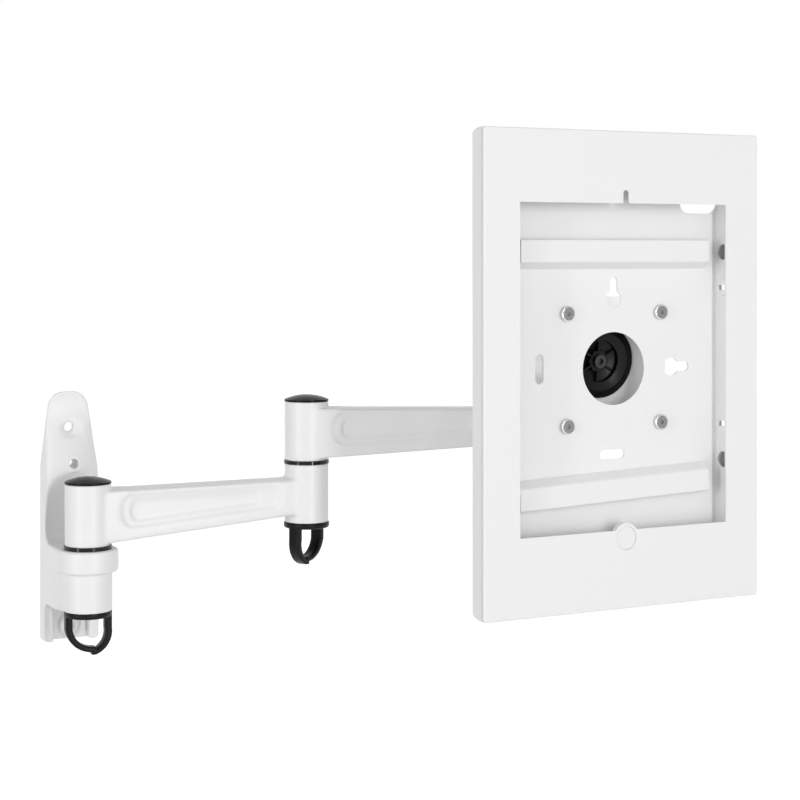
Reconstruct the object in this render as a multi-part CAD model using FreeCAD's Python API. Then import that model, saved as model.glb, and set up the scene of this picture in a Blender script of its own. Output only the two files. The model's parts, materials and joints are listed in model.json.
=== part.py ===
import FreeCAD, Part
import math
import os

# A tablet wall mount: a cast wall bracket, two swinging arms and a locking
# steel enclosure on a ball joint.
# Frame: origin at the middle of the bracket's flat wall face, +X right along
# the wall, +Y into the wall, +Z up. Lengths are in millimetres.

V = FreeCAD.Vector
X_AXIS = V(1, 0, 0)
Y_AXIS = V(0, 1, 0)
Z_AXIS = V(0, 0, 1)

# Clearances
RUNNING_GAP = 0.05
LOOSE_GAP = 0.1
MOVING_GAP = 0.4

# Barrels, which are the same at every pivot
BARREL_R = 16.0
BARREL_H = 43.0
WASHER_T = 2.4
WASHER_R = 16.6
BOLT_R = 6.0
BOLT_HEAD_R = 10.0
BOLT_HEAD_H = 8.0
BOLT_SOCKET_AF = 8.0
BOLT_SOCKET_DEPTH = 5.0
BUSH_WALL = 2.0
BUSH_SLEEVE = 12.0
BUSH_FLANGE_T = 2.0
WELL_R = 12.5
HEAD_WELL_DEPTH = 14.0
NUT_WELL_DEPTH = 18.0
NUT_AF = 19.0
NUT_H = 9.0
FLAT_WASHER_R = 11.5
FLAT_WASHER_T = 1.6
BOLT_TAIL = 1.5
PLUG_SKIRT_H = 3.0
PLUG_SKIRT_WALL = 1.3
CAP_R = 16.2
CAP_RIM_H = 1.3
CAP_DOME_H = 3.4
BARREL_EDGE = 0.5

# Wall bracket
PLATE_W = 40.5
PLATE_H = 177.2
PLATE_CORNER_R = 3.0
TAPER_START_DROP = 53.6
TAPER_START_R = 60.0
CROWN_HALF = 13.7
CROWN_R = 9.5
TOP_EDGE_T = 3.5
TOP_MID_T = 4.2
RAMP_LOW_DROP = 60.6
FLANK_T = 13.0
SPINE_T = 21.0
HUB_Y = 50.0
HUB_R = 16.8
COLLAR_R = 21.0
COLLAR_H = 15.6
COLLAR_EDGE = 2.0
WEB_STRAIGHT = 34.0
SCOOP_R = 42.0
SCOOP_FILLET = 10.0
SCOOP_STRAIGHT_H = 24.0
SCOOP_TOP_R = 28.0
SCOOP_H = 51.5
LEG_H = 28.2
LEG_T = 11.0
LEG_WALL = 7.0
LEG_FLOOR_T = 4.0
ARCH_CORNER_R = 5.0
SCREW_HOLE_R = 3.35
UPPER_HOLE_DROP = 25.2
MIDDLE_HOLE_DROP = 50.5
LOWER_HOLE_UP = 10.1
UPPER_HOLE_T = 7.1
COUNTERSINK_R = 7.0
COUNTERSINK_DEPTH = 2.2
LEG_FILLET_R = 8.0
LOWER_BOSS_R = 8.5
LOWER_BOSS_T = 18.0
BACK_POCKET_WALL = 4.7
BACK_POCKET_DEPTH = 26.0
BACK_POCKET_R = 4.0

# Arms
ARM_LENGTH = 163.0
ARM_RISE = 6.55
LOWER_ARM_ANGLE = -2.8
UPPER_ARM_ANGLE = -30.2
BEAM_START = 6.0
BEAM_TOP_DROP = 4.9
BEAM_TOP_RISE = 1.0
BEAM_BOTTOM_UP = 1.0
BEAM_BOTTOM_RISE = 13.1
BEAM_W_IN = 28.0
BEAM_W_OUT = 24.0
BEAM_TOP_R = 1.8
BEAM_BOTTOM_R = 1.5
HOLLOW_IN = 20.0
HOLLOW_OUT = 138.0
HOLLOW_TOP = 2.6
HOLLOW_BOTTOM = 8.5
HOLLOW_DEPTH = 1.6
HOLLOW_END_R = 10.0
HOLLOW_TIP_R = 4.5
PANEL_HOLLOW_IN = 27.0
PANEL_HOLLOW_OUT = 122.0
PANEL_HOLLOW_STEP = 4.0
PANEL_HOLLOW_DEPTH = 1.5
PANEL_HOLLOW_END_R = 6.5
PANEL_HOLLOW_TIP_R = 2.5

# Cable hoops under the wall hub and the elbow
HOOP_DISC_R = 15.8
HOOP_DISC_T = 3.2
HOOP_STRAP_T = 3.4
HOOP_TIP_T = 2.0
HOOP_STRAP_W = 7.6
HOOP_REACH = 30.5
HOOP_SHOULDER = 9.0
HOOP_MEET = 2.6
HOOP_OVERLAP = 2.0
HOOP_TIP_GAP = 0.6
WALL_HOOP_TURN = -7.0
ELBOW_HOOP_TURN = -150.0

# Ball joint behind the enclosure; radii count from the ball's centre, which
# lies in front of the enclosure's face
HEAD_REACH = 124.7
BALL_AHEAD = 5.5
STEM_TILT = 6.0
DISH_R = 45.0
DISH_T = 2.0
LINER_T = 2.0
CUP_T = 3.0
DISH_HOLE_R = 17.4
LINER_HOLE_R = 18.2
LINER_RIM_R = 30.0
CUP_RIM_R = 30.5
NECK_R_BARREL = 12.0
NECK_R_CUP = 18.0
BALL_WASHER_R = 25.0
BALL_WASHER_RIM_T = 1.3
BALL_WASHER_T = 5.0
RECESS_R = 14.4
RECESS_FLOOR_T = 1.2
RIB_COUNT = 6
RIB_T = 1.2
RIB_DROP = 0.5
CENTRE_HUB_AF = 13.4
CENTRE_HUB_W = 33.6
STEM_R = 4.8
CENTRE_SCREW_R = 3.0
CENTRE_SCREW_HEAD_R = 4.6
CENTRE_SCREW_HEAD_H = 2.6
CENTRE_SCREW_SOCKET_AF = 4.0
CENTRE_SCREW_GRIP = 14.0

# Enclosure: u is across, v is up and w is the depth behind its front face
SIDE_BAR_W = 26.9
TOP_BAR_H = 48.25
BOTTOM_BAR_H = 52.45
SHEET = 1.5
BACK_FRONT_W = 15.1
COVER_LIP_W = 2.4
SEAM_GAP = 0.6
EDGE_BEND_R = 1.1
CORNER_R = 2.0
TRAY_BEND_R = 8.0
WINDOW_W = 164.4
WINDOW_H = 217.9
WINDOW_CORNER_R = 0.6
SENSOR_SLOT_W = 4.5
SENSOR_SLOT_RISE = 8.85
BUTTON_BELOW = 5.35
BUTTON_HOLE_R = 8.0
BUTTON_EAR_R = 10.0
BUTTON_DISC_R = 6.8
BUTTON_STEP = 0.35
BUTTON_FLANGE_R = 8.8
BUTTON_FLANGE_T = 0.6
BUTTON_TRAVEL = 0.8
BUTTON_PLUNGER_R = 5.0
BUTTON_PLUNGER_OUT = 0.4
HOUSING_WALL = 1.0
HOUSING_FLOOR_T = 0.6
CENTRE_HOLE_R = 24.6
VESA_HALF = 37.5
VESA_HOLE_R = 2.2
KEY_ROUND_R = 6.1
KEY_ROUND_AT = 47.0
KEY_SLOT_R = 3.2
KEY_SLOT_END = 61.7
LOW_SLOT_V = -57.8
LOW_SLOT_U = -1.0
LOW_SLOT_LENGTH = 19.6
LEFT_SLOT_U = -58.5
LEFT_SLOT_V = 1.2
LEFT_SLOT_LENGTH = 19.8
SLOT_WIDTH = 6.4
LENS_HOLE_IN = 12.4
LENS_HOLE_RISE = 2.0
LENS_HOLE_LENGTH = 31.4
LENS_HOLE_HEIGHT = 15.8
RAIL_LENGTH = 151.5
RAIL_U = -1.5
RAIL_FACE_H = 15.0
RAIL_SLOPE_H = 5.0
TOP_RAIL_DROP = 24.05
BOTTOM_RAIL_RISE = 15.35
RAIL_FRONT_W = 7.6
RAIL_SHEET = 1.2
BOTTOM_RAIL_TILT = 2.2
SIDE_NUT_V = 73.0
SIDE_NUT_W = 6.4
SIDE_NUT_R = 3.2
SIDE_NUT_T = 3.0
SIDE_TAB_HALF = 9.0
SIDE_TAB_END_W = 9.6
SIDE_TAB_T = 1.2
SIDE_SCREW_R = 2.0
SIDE_SCREW_HEAD_R = 3.3
SIDE_SCREW_HEAD_H = 2.0
SIDE_SCREW_SOCKET_R = 1.2
FENCE_U = 86.0
FENCE_FRONT_W = 4.0
FENCE_FOOT_R = 2.5
FENCE_SLOTS_V = (54.0, -40.3)
FENCE_SLOT_FRONT_W = 5.4
FENCE_SLOT_BACK_W = 12.0
FENCE_SLOT_H = 3.6
FENCE_BOSS_R = 5.6
FENCE_BOSS_T = 0.8
FENCE_HOLES_V = (78.5, -65.0)
FENCE_HOLE_R = 5.4
SIGHT_SLOT_LENGTH = 15.0
SIGHT_SLOT_H = 8.0
SIGHT_SLOT_GAP = 1.0

# Plate and screws that join the enclosure to the ball joint
MOUNT_PLATE_W = 86.0
MOUNT_PLATE_H = 97.0
MOUNT_PLATE_T = 2.5
MOUNT_PLATE_CORNER_R = 6.0
VESA_SCREW_R = 2.0
VESA_HEAD_R = 5.3
VESA_HEAD_H = 3.0
VESA_SOCKET_AF = 3.0
VESA_SOCKET_DEPTH = 1.6
VESA_NUT_AF = 7.0
VESA_NUT_H = 3.2
VESA_TAIL = 1.2

# Places worked out from the sizes above
PLATE_TOP_Z = PLATE_H / 2
TAPER_START_Z = PLATE_TOP_Z - TAPER_START_DROP
RAMP_LOW_Z = PLATE_TOP_Z - RAMP_LOW_DROP
UPPER_HOLE_Z = PLATE_TOP_Z - UPPER_HOLE_DROP
MIDDLE_HOLE_Z = PLATE_TOP_Z - MIDDLE_HOLE_DROP
LOWER_HOLE_Z = LOWER_HOLE_UP - PLATE_TOP_Z
HUB_BOTTOM_Z = LEG_H - PLATE_TOP_Z
HUB_TOP_Z = HUB_BOTTOM_Z + BARREL_H
SCOOP_STRAIGHT_Z = HUB_TOP_Z + SCOOP_STRAIGHT_H
SCOOP_TOP_Z = HUB_TOP_Z + SCOOP_H
LOWER_ARM_Z = HUB_TOP_Z + WASHER_T
UPPER_ARM_Z = LOWER_ARM_Z + ARM_RISE + BARREL_H + WASHER_T
HEAD_Z = UPPER_ARM_Z + ARM_RISE + BARREL_H + WASHER_T


def along(angle, length):
    turn = math.radians(angle)
    return V(length * math.cos(turn), length * math.sin(turn), 0)


WALL_PIVOT = V(0, -HUB_Y, 0)
ELBOW_PIVOT = WALL_PIVOT + along(LOWER_ARM_ANGLE, ARM_LENGTH)
HEAD_PIVOT = ELBOW_PIVOT + along(UPPER_ARM_ANGLE, ARM_LENGTH)
PANEL_PLACE = V(HEAD_PIVOT.x, HEAD_PIVOT.y - HEAD_REACH, HEAD_Z + BARREL_H / 2)
BUSH_BORE_R = BOLT_R + RUNNING_GAP
BUSH_R = BOLT_R + BUSH_WALL
TRAY_BACK_W = BACK_FRONT_W + SHEET
TRAY_FRONT_W = COVER_LIP_W + SEAM_GAP
MOUNT_PLATE_BACK_W = TRAY_BACK_W + MOUNT_PLATE_T
PANEL_W = WINDOW_W + 2 * SIDE_BAR_W
PANEL_H = WINDOW_H + TOP_BAR_H + BOTTOM_BAR_H
WINDOW_TOP_V = PANEL_H / 2 - TOP_BAR_H
WINDOW_BOTTOM_V = BOTTOM_BAR_H - PANEL_H / 2
SENSOR_SLOT_V = WINDOW_TOP_V + SENSOR_SLOT_RISE
BUTTON_V = WINDOW_BOTTOM_V - BUTTON_BELOW
LENS_HOLE_U = WINDOW_W / 2 - LENS_HOLE_IN
LENS_HOLE_V = WINDOW_TOP_V + LENS_HOLE_RISE
RAIL_TOP_V = WINDOW_TOP_V - TOP_RAIL_DROP
RAIL_BOTTOM_V = WINDOW_BOTTOM_V + BOTTOM_RAIL_RISE


# Outlines and simple solids


def closed_wire(points, radii, lift):
    """A closed wire with straight sides and an arc of its own radius at each corner."""
    flat = [V(a, b, 0) for a, b in points]
    joints = []
    for index, corner in enumerate(flat):
        back = (flat[index - 1] - corner).normalize()
        ahead = (flat[(index + 1) % len(flat)] - corner).normalize()
        radius = radii[index] if isinstance(radii, (list, tuple)) else radii
        if radius <= 0:
            joints.append((corner, None, corner))
            continue
        half = back.getAngle(ahead) / 2
        middle = (back + ahead).normalize()
        reach = radius / math.tan(half)
        apex = corner + middle * (radius / math.sin(half) - radius)
        joints.append((corner + back * reach, apex, corner + ahead * reach))
    edges = []
    for index, (start, apex, end) in enumerate(joints):
        if apex is not None:
            edges.append(Part.Arc(lift(start), lift(apex), lift(end)).toShape())
        following = joints[(index + 1) % len(joints)][0]
        if (following - end).Length > 1e-6:
            edges.append(Part.makeLine(lift(end), lift(following)))
    return Part.Wire(edges)


def prism_y(points, radii, low, high):
    """An outline in x and z, pushed from y = low to y = high."""
    wire = closed_wire(points, radii, lambda p: V(p.x, low, p.y))
    return Part.Face(wire).extrude(V(0, high - low, 0))


def prism_x(points, radii, low, high):
    """An outline in y and z, pushed from x = low to x = high."""
    wire = closed_wire(points, radii, lambda p: V(low, p.x, p.y))
    return Part.Face(wire).extrude(V(high - low, 0, 0))


def prism_z(points, radii, low, high):
    """An outline in x and y, pushed from z = low to z = high."""
    wire = closed_wire(points, radii, lambda p: V(p.x, p.y, low))
    return Part.Face(wire).extrude(V(0, 0, high - low))


def rectangle(left, right, low, high):
    return [(left, low), (right, low), (right, high), (left, high)]


def block(left, right, near, far, low, high):
    return Part.makeBox(right - left, far - near, high - low, V(left, near, low))


def rod(radius, low, high, middle=V(0, 0, 0)):
    return Part.makeCylinder(radius, high - low, V(middle.x, middle.y, low))


def rod_y(radius, near, far, across=0.0, up=0.0):
    return Part.makeCylinder(radius, far - near, V(across, near, up), Y_AXIS)


def rod_x(radius, left, right, deep, up):
    return Part.makeCylinder(radius, right - left, V(left, deep, up), X_AXIS)


def turned(points, radii):
    """A solid turned about Z from an outline in radius and height."""
    wire = closed_wire(points, radii, lambda p: V(p.x, 0, p.y))
    return Part.Face(wire).revolve(V(0, 0, 0), Z_AXIS, 360)


def hexagon(across_flats):
    corner = across_flats / math.sqrt(3)
    turns = [math.radians(60 * k) for k in range(6)]
    return [(corner * math.cos(turn), corner * math.sin(turn)) for turn in turns]


def slot_y(across, up, length, width, near, far, upright=False):
    """A slot with round ends that goes through the sheet along Y."""
    wide, tall = (width, length) if upright else (length, width)
    outline = rectangle(across - wide / 2, across + wide / 2, up - tall / 2, up + tall / 2)
    return prism_y(outline, width / 2 - 0.001, near, far)


def joined(first, *others):
    return first.fuse(list(others)).removeSplitter()


# Pieces of one pivot, with z = 0 at the bottom of the barrel they belong to


def lower_barrel_bores():
    """Bolt hole and nut well, cut from the barrel that carries a pivot."""
    well = rod(WELL_R, -1, NUT_WELL_DEPTH)
    hole = rod(BOLT_R + LOOSE_GAP, 0, BARREL_H + 1)
    return well.fuse(hole)


def upper_barrel_bores():
    """Bush hole and bolt head well, cut from the barrel that turns on a pivot."""
    well = rod(WELL_R, BARREL_H - HEAD_WELL_DEPTH, BARREL_H + 1)
    hole = rod(BUSH_R, -1, BARREL_H)
    return well.fuse(hole)


def barrel():
    outline = rectangle(0, BARREL_R, 0, BARREL_H)
    return turned(outline, [0, BARREL_EDGE, BARREL_EDGE, 0])


def thrust_bush():
    """Wide washer between two barrels, with a sleeve up into the turning one."""
    disc = rod(WASHER_R, -WASHER_T, 0)
    sleeve = rod(BUSH_R, 0, BUSH_SLEEVE)
    return joined(disc, sleeve).cut(rod(BUSH_BORE_R, -WASHER_T, BUSH_SLEEVE))


def top_bush():
    seat = BARREL_H - HEAD_WELL_DEPTH
    flange = rod(WELL_R - LOOSE_GAP, seat, seat + BUSH_FLANGE_T)
    sleeve = rod(BUSH_R, seat - BUSH_SLEEVE, seat)
    return joined(flange, sleeve).cut(rod(BUSH_BORE_R, seat - BUSH_SLEEVE, seat + BUSH_FLANGE_T))


def bolt_tail_z():
    """Where the bolt ends, measured from the bottom of the upper barrel."""
    nut_bottom = NUT_WELL_DEPTH - FLAT_WASHER_T - NUT_H
    return nut_bottom - BOLT_TAIL - BARREL_H - WASHER_T


def pivot_bolt():
    seat = BARREL_H - HEAD_WELL_DEPTH + BUSH_FLANGE_T
    outline = rectangle(0, BOLT_HEAD_R, seat, seat + BOLT_HEAD_H)
    head = turned(outline, [0, 0, 1.0, 0])
    shank = rod(BOLT_R, bolt_tail_z(), seat)
    socket_floor = seat + BOLT_HEAD_H - BOLT_SOCKET_DEPTH
    socket = prism_z(hexagon(BOLT_SOCKET_AF), 0, socket_floor, seat + BOLT_HEAD_H)
    return joined(head, shank).cut(socket)


def lock_nut():
    """Nut on its flat washer, in the well under the lower barrel."""
    top = NUT_WELL_DEPTH - FLAT_WASHER_T
    nut = prism_z(hexagon(NUT_AF), 0, top - NUT_H, top)
    return nut.cut(rod(BOLT_R, top - NUT_H, top))


def flat_washer():
    top = NUT_WELL_DEPTH
    disc = rod(FLAT_WASHER_R, top - FLAT_WASHER_T, top)
    return disc.cut(rod(BOLT_R + LOOSE_GAP, top - FLAT_WASHER_T, top))


def skirt(low, high):
    outside = rod(WELL_R - LOOSE_GAP, low, high)
    return outside.cut(rod(WELL_R - LOOSE_GAP - PLUG_SKIRT_WALL, low, high))


def pivot_cap():
    """Domed cap that closes the bolt head well."""
    rim = rod(CAP_R, BARREL_H, BARREL_H + CAP_RIM_H)
    dome_r = (CAP_R ** 2 + CAP_DOME_H ** 2) / (2 * CAP_DOME_H)
    centre = BARREL_H + CAP_RIM_H + CAP_DOME_H - dome_r
    dome = Part.makeSphere(dome_r, V(0, 0, centre)).common(rod(CAP_R, BARREL_H, BARREL_H + 4 * CAP_DOME_H))
    return joined(rim.fuse(dome), skirt(BARREL_H - PLUG_SKIRT_H, BARREL_H))


def plain_plug():
    disc = turned(rectangle(0, HOOP_DISC_R, -HOOP_DISC_T, 0), [0, 0.8, 0, 0])
    return joined(disc, skirt(0, PLUG_SKIRT_H))


def hoop_finger(side, drop, meet):
    """One springy finger: straight down from the disc, then round to where they meet."""
    outer = HOOP_DISC_R - 0.4
    inner = outer - HOOP_STRAP_T
    start = -HOOP_DISC_T
    bend = start - HOOP_SHOULDER
    tip = -drop
    top = tip + HOOP_TIP_T
    diagonal = math.sqrt(0.5)
    outer_mid = V(meet + (side * outer - meet) * diagonal, 0, bend + (tip - bend) * diagonal)
    inner_mid = V(meet + (side * inner - meet) * diagonal, 0, bend + (top - bend) * diagonal)
    edges = [
        Part.makeLine(V(side * outer, 0, start), V(side * outer, 0, bend)),
        Part.Arc(V(side * outer, 0, bend), outer_mid, V(meet, 0, tip)).toShape(),
        Part.makeLine(V(meet, 0, tip), V(meet, 0, top)),
        Part.Arc(V(meet, 0, top), inner_mid, V(side * inner, 0, bend)).toShape(),
        Part.makeLine(V(side * inner, 0, bend), V(side * inner, 0, start)),
        Part.makeLine(V(side * inner, 0, start), V(side * outer, 0, start)),
    ]
    band = Part.Face(Part.Wire(edges)).extrude(V(0, HOOP_STRAP_W, 0))
    band.translate(V(0, -HOOP_STRAP_W / 2, 0))
    return band


def cable_hoop():
    """Plug disc with two fingers that close into a loop for the cable."""
    long_finger = hoop_finger(1, HOOP_REACH, HOOP_MEET)
    short_drop = HOOP_REACH - HOOP_TIP_T - HOOP_TIP_GAP
    short_finger = hoop_finger(-1, short_drop, HOOP_MEET + HOOP_OVERLAP)
    return joined(plain_plug(), long_finger, short_finger)


# Wall bracket


def tongue(near, far):
    """The bracket's outline seen from the room, pushed between two depths."""
    half = PLATE_W / 2
    top = PLATE_TOP_Z
    outline = [
        (-half, -top), (half, -top), (half, TAPER_START_Z),
        (CROWN_HALF, top), (-CROWN_HALF, top), (-half, TAPER_START_Z),
    ]
    radii = [PLATE_CORNER_R, PLATE_CORNER_R, TAPER_START_R, CROWN_R, CROWN_R, TAPER_START_R]
    return prism_y(outline, radii, near, far)


def front_section(height, edge_depth, middle_depth):
    """Level section of the casting: flat at the wall, bulging towards the room."""
    half = PLATE_W / 2
    corners = [V(-half, 0, height), V(-half, -edge_depth, height)]
    corners += [V(0, -middle_depth, height), V(half, -edge_depth, height), V(half, 0, height)]
    return Part.Wire([
        Part.makeLine(corners[0], corners[1]),
        Part.Arc(corners[1], corners[2], corners[3]).toShape(),
        Part.makeLine(corners[3], corners[4]),
        Part.makeLine(corners[4], corners[0]),
    ])


def bracket_spine():
    """Thin at the top, swelling into the thick part that carries the hub."""
    top = PLATE_TOP_Z + 1
    span = top - RAMP_LOW_Z
    edge_rise = FLANK_T - TOP_EDGE_T
    middle_rise = SPINE_T - TOP_MID_T
    sections = [front_section(top, TOP_EDGE_T, TOP_MID_T)]
    for share, swell in ((0.42, 0.18), (0.72, 0.66)):
        level = top - share * span
        sections.append(front_section(level, TOP_EDGE_T + swell * edge_rise, TOP_MID_T + swell * middle_rise))
    sections.append(front_section(RAMP_LOW_Z, FLANK_T, SPINE_T))
    ramp = Part.makeLoft(sections, True, False)
    column = Part.Face(sections[-1]).extrude(V(0, 0, HUB_BOTTOM_Z - RAMP_LOW_Z))
    return ramp.fuse(column)


def bracket_web():
    """Joins the plate to the hub, as wide as the plate and rounded at the front."""
    half = PLATE_W / 2
    turn_y = -(WEB_STRAIGHT + HUB_Y) / 2
    path = [(half, -WEB_STRAIGHT), (half, turn_y), (HUB_R, turn_y), (HUB_R, -HUB_Y)]
    left_bend = Part.BezierCurve()
    left_bend.setPoles([V(-x, y, 0) for x, y in path])
    right_bend = Part.BezierCurve()
    right_bend.setPoles([V(x, y, 0) for x, y in reversed(path)])
    wire = Part.Wire([
        Part.makeLine(V(-half, 0, 0), V(-half, -WEB_STRAIGHT, 0)),
        left_bend.toShape(),
        Part.Arc(V(-HUB_R, -HUB_Y, 0), V(0, -HUB_Y - HUB_R, 0), V(HUB_R, -HUB_Y, 0)).toShape(),
        right_bend.toShape(),
        Part.makeLine(V(half, -WEB_STRAIGHT, 0), V(half, 0, 0)),
        Part.makeLine(V(half, 0, 0), V(-half, 0, 0)),
    ])
    web = Part.Face(wire).extrude(V(0, 0, BARREL_H + SCOOP_FILLET))
    web.translate(V(0, 0, HUB_BOTTOM_Z))
    return web


def bracket_scoop():
    """Round hollow about the pivot that leaves room for the arm's barrel."""
    waist_r = (SCOOP_R + SCOOP_TOP_R) / 2 + 2.0
    waist_z = SCOOP_STRAIGHT_Z + 0.72 * (SCOOP_TOP_Z - SCOOP_STRAIGHT_Z)
    diagonal = SCOOP_FILLET * (1 - math.sqrt(0.5))
    floor_end = V(SCOOP_R - SCOOP_FILLET, 0, HUB_TOP_Z)
    fillet_mid = V(SCOOP_R - diagonal, 0, HUB_TOP_Z + diagonal)
    fillet_end = V(SCOOP_R, 0, HUB_TOP_Z + SCOOP_FILLET)
    straight_end = V(SCOOP_R, 0, SCOOP_STRAIGHT_Z)
    top_end = V(SCOOP_TOP_R, 0, SCOOP_TOP_Z)
    edges = [
        Part.makeLine(V(0, 0, HUB_TOP_Z), floor_end),
        Part.Arc(floor_end, fillet_mid, fillet_end).toShape(),
        Part.makeLine(fillet_end, straight_end),
        Part.Arc(straight_end, V(waist_r, 0, waist_z), top_end).toShape(),
        Part.makeLine(top_end, V(0, 0, SCOOP_TOP_Z)),
        Part.makeLine(V(0, 0, SCOOP_TOP_Z), V(0, 0, HUB_TOP_Z)),
    ]
    scoop = Part.Face(Part.Wire(edges)).revolve(V(0, 0, 0), Z_AXIS, 360)
    scoop.translate(V(0, -HUB_Y, 0))
    return scoop


def collar_band():
    """Rounded band about the hub's top that runs back to the wall on both sides."""
    low = HUB_TOP_Z - COLLAR_H
    ring = turned(rectangle(0, COLLAR_R, low, HUB_TOP_Z), [0, COLLAR_EDGE, COLLAR_EDGE, 0])
    ring.translate(WALL_PIVOT)
    front = closed_wire(
        rectangle(-COLLAR_R, COLLAR_R, low, HUB_TOP_Z), COLLAR_EDGE, lambda p: V(p.x, -HUB_Y, p.y),
    )
    back = closed_wire(
        rectangle(-PLATE_W / 2, PLATE_W / 2, low, HUB_TOP_Z), COLLAR_EDGE, lambda p: V(p.x, 0, p.y),
    )
    return Part.makeLoft([front, back], True, True).fuse(ring)


def leg_fillet():
    """Cast fillet between the legs and the underside of the web."""
    corner_y = -LEG_T
    corner_z = HUB_BOTTOM_Z
    reach = LEG_FILLET_R
    solid = block(-PLATE_W / 2, PLATE_W / 2, corner_y - reach, corner_y + 1, corner_z - reach, corner_z + 1)
    return solid.cut(rod_x(reach, -PLATE_W, PLATE_W, corner_y - reach, corner_z - reach))


def wall_bracket():
    half = PLATE_W / 2
    bottom = -PLATE_TOP_Z
    spine = bracket_spine().common(tongue(-SPINE_T - 1, 0))
    leg = prism_z(rectangle(-half, half, -LEG_T, 0), 0, bottom, HUB_BOTTOM_Z).common(tongue(-LEG_T, 0))
    body = spine.fuse([leg, leg_fillet(), bracket_web()]).cut(bracket_scoop())
    body = joined(body, collar_band())
    arch_half = half - LEG_WALL
    arch = prism_y(
        rectangle(-arch_half, arch_half, bottom - 10, HUB_BOTTOM_Z),
        [0, 0, ARCH_CORNER_R, ARCH_CORNER_R], -LEG_T - LEG_FILLET_R - 1, -LEG_FLOOR_T,
    )
    body = body.cut(arch)
    body = joined(body, rod_y(LOWER_BOSS_R, -LOWER_BOSS_T, -LEG_FLOOR_T + 0.5, 0, LOWER_HOLE_Z))
    pocket_half = half - BACK_POCKET_WALL
    pocket = prism_y(
        rectangle(-pocket_half, pocket_half, HUB_BOTTOM_Z + BACK_POCKET_WALL, HUB_TOP_Z - BACK_POCKET_WALL),
        BACK_POCKET_R, -BACK_POCKET_DEPTH, 1,
    )
    cuts = [pocket]
    for height in (UPPER_HOLE_Z, MIDDLE_HOLE_Z, LOWER_HOLE_Z):
        cuts.append(rod_y(SCREW_HOLE_R, -SPINE_T - 5, 1, 0, height))
    sink_mouth = V(0, -UPPER_HOLE_T - COUNTERSINK_DEPTH, UPPER_HOLE_Z)
    mouth_r = 2 * COUNTERSINK_R - SCREW_HOLE_R
    cuts.append(Part.makeCone(mouth_r, SCREW_HOLE_R, 2 * COUNTERSINK_DEPTH, sink_mouth, Y_AXIS))
    bores = lower_barrel_bores()
    bores.translate(WALL_PIVOT + V(0, 0, HUB_BOTTOM_Z))
    cuts.append(bores)
    return body.cut(cuts)


# Arms, with z = 0 at the bottom of the inner barrel and +X towards the outer one


def beam_bottom(x):
    return BEAM_BOTTOM_UP + BEAM_BOTTOM_RISE * x / ARM_LENGTH


def beam_top(x):
    return BARREL_H - BEAM_TOP_DROP + BEAM_TOP_RISE * x / ARM_LENGTH


def beam_half(x):
    return (BEAM_W_IN + (BEAM_W_OUT - BEAM_W_IN) * x / ARM_LENGTH) / 2


def beam_section(x):
    outline = rectangle(-beam_half(x), beam_half(x), beam_bottom(x), beam_top(x))
    radii = [BEAM_BOTTOM_R, BEAM_BOTTOM_R, BEAM_TOP_R, BEAM_TOP_R]
    return closed_wire(outline, radii, lambda p: V(x, p.x, p.y))


def hollow_cut(start, end, top_gap, bottom_gap, end_r, tip_r, depth):
    """A long shallow hollow in the arm's side, round at both ends."""
    outline = [
        (start, beam_bottom(start) + bottom_gap),
        (end, beam_bottom(end) + bottom_gap),
        (end, beam_top(end) - top_gap),
        (start, beam_top(start) - top_gap),
    ]
    radii = [end_r, tip_r, tip_r, end_r]
    return prism_y(outline, radii, -BEAM_W_IN, depth - BEAM_W_IN / 2)


def side_hollows():
    outer = hollow_cut(
        HOLLOW_IN, HOLLOW_OUT, HOLLOW_TOP, HOLLOW_BOTTOM,
        HOLLOW_END_R, HOLLOW_TIP_R, HOLLOW_DEPTH,
    )
    step = PANEL_HOLLOW_STEP
    inner = hollow_cut(
        PANEL_HOLLOW_IN, PANEL_HOLLOW_OUT, HOLLOW_TOP + step, HOLLOW_BOTTOM + step,
        PANEL_HOLLOW_END_R, PANEL_HOLLOW_TIP_R, HOLLOW_DEPTH + PANEL_HOLLOW_DEPTH,
    )
    taper = math.degrees(math.atan((BEAM_W_IN - BEAM_W_OUT) / 2 / ARM_LENGTH))
    near = outer.fuse(inner)
    near.rotate(V(0, 0, 0), Z_AXIS, taper)
    far = near.mirror(V(0, 0, 0), Y_AXIS)
    return [near, far]


def arm_casting():
    outer = barrel()
    outer.translate(V(ARM_LENGTH, 0, ARM_RISE))
    beam = Part.makeLoft([beam_section(BEAM_START), beam_section(ARM_LENGTH)], True, True)
    body = joined(barrel(), outer, beam)
    lower_bores = lower_barrel_bores()
    lower_bores.translate(V(ARM_LENGTH, 0, ARM_RISE))
    return body.cut(side_hollows() + [upper_barrel_bores(), lower_bores])


# Ball joint, built about the enclosure's middle: x across, y deep, z up


def bowl(inside, outside, hole_r, rim_r):
    """Part of a spherical shell about the ball's centre, opening to the front."""
    def at(radius, edge_r):
        angle = math.asin(edge_r / outside)
        return V(radius * math.sin(angle), radius * math.cos(angle) - BALL_AHEAD, 0)

    middle_r = (hole_r + rim_r) / 2
    edges = [
        Part.Arc(at(inside, hole_r), at(inside, middle_r), at(inside, rim_r)).toShape(),
        Part.makeLine(at(inside, rim_r), at(outside, rim_r)),
        Part.Arc(at(outside, rim_r), at(outside, middle_r), at(outside, hole_r)).toShape(),
        Part.makeLine(at(outside, hole_r), at(inside, hole_r)),
    ]
    return Part.Face(Part.Wire(edges)).revolve(V(0, 0, 0), Y_AXIS, 360)


def ball(radius):
    return Part.makeSphere(radius, V(0, -BALL_AHEAD, 0))


def liner_inside():
    return DISH_R + DISH_T + RUNNING_GAP


def cup_inside():
    return liner_inside() + LINER_T + RUNNING_GAP


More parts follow.
